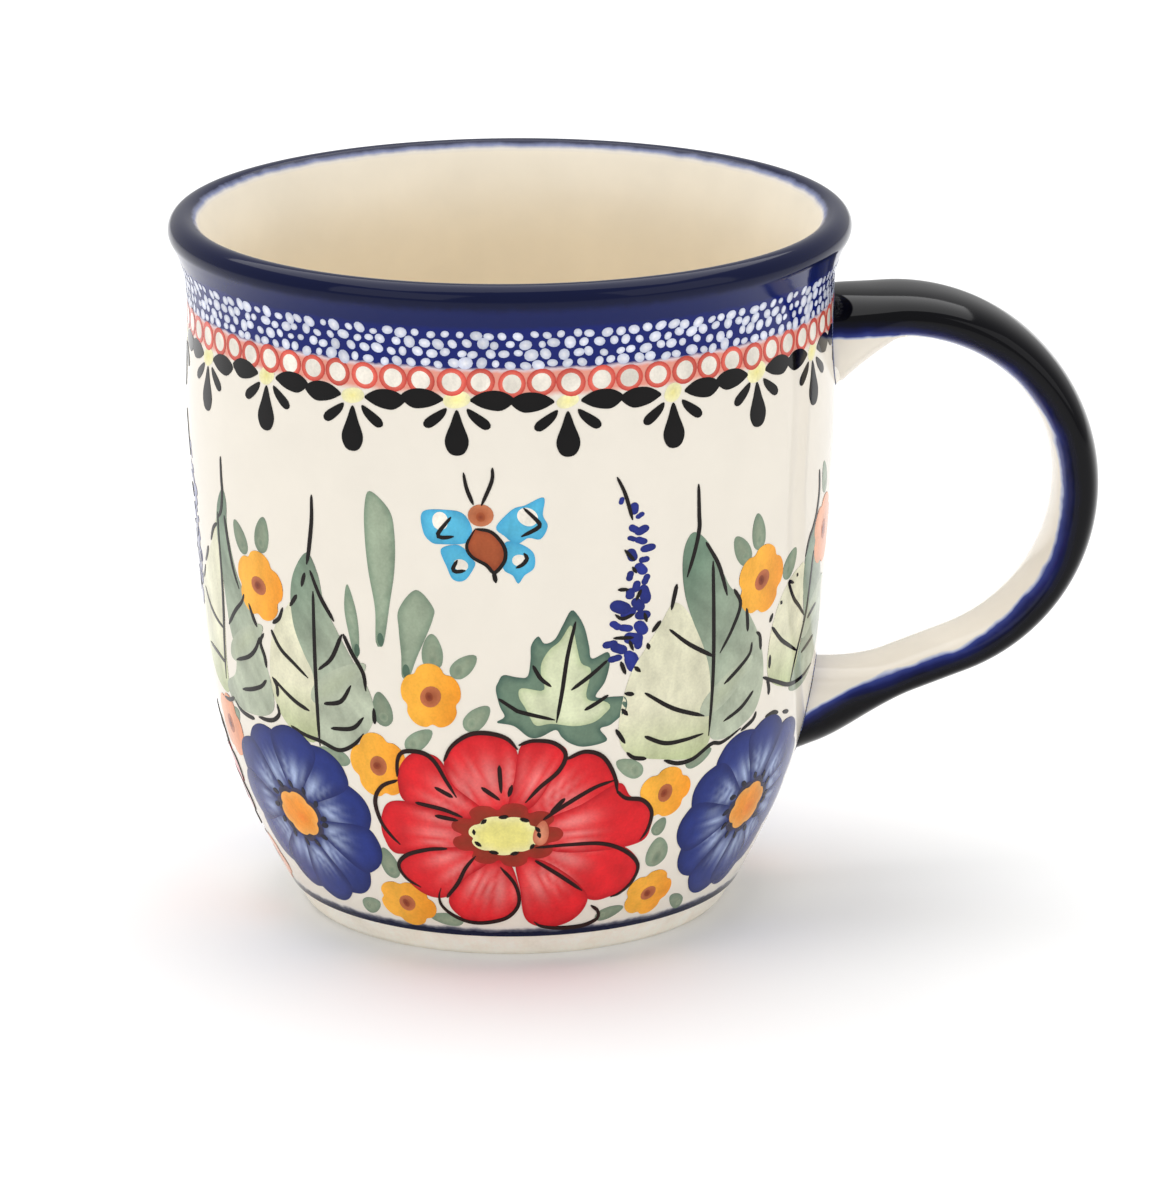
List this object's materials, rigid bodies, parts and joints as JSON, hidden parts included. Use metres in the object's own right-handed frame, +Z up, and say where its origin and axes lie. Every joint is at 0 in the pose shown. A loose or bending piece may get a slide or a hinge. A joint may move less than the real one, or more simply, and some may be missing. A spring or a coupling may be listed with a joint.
{
  "type": "stoneware mug",
  "caption": "Bellied glazed stoneware mug with a rolled lip, a turned foot ring and a looped strap handle luted to the wall, painted under the glaze.",
  "frame": {"origin": "on the cup's axis, in the plane that the foot ring stands on", "axes": "+Z up along the cup's axis, +X towards the handle"},
  "size_m": [0.1235, 0.09, 0.094],
  "materials": {
    "fired_stoneware": "bare fired cream clay",
    "fired_slip": "fired luting slip",
    "clear_glaze": "glossy clear glaze over cream clay",
    "cobalt_glaze": "glossy glaze over dark cobalt",
    "underglaze_paint": "brushed and stamped colours under a glossy glaze"
  },
  "bodies": {
    "root": {"body": "fired_stoneware", "handle": "fired_stoneware", "upper_slip_joint": "fired_slip", "lower_slip_joint": "fired_slip", "inner_glaze": "clear_glaze", "outer_glaze": "clear_glaze", "handle_glaze": "cobalt_glaze", "base_glaze": "clear_glaze"}
  },
  "joints": []
}
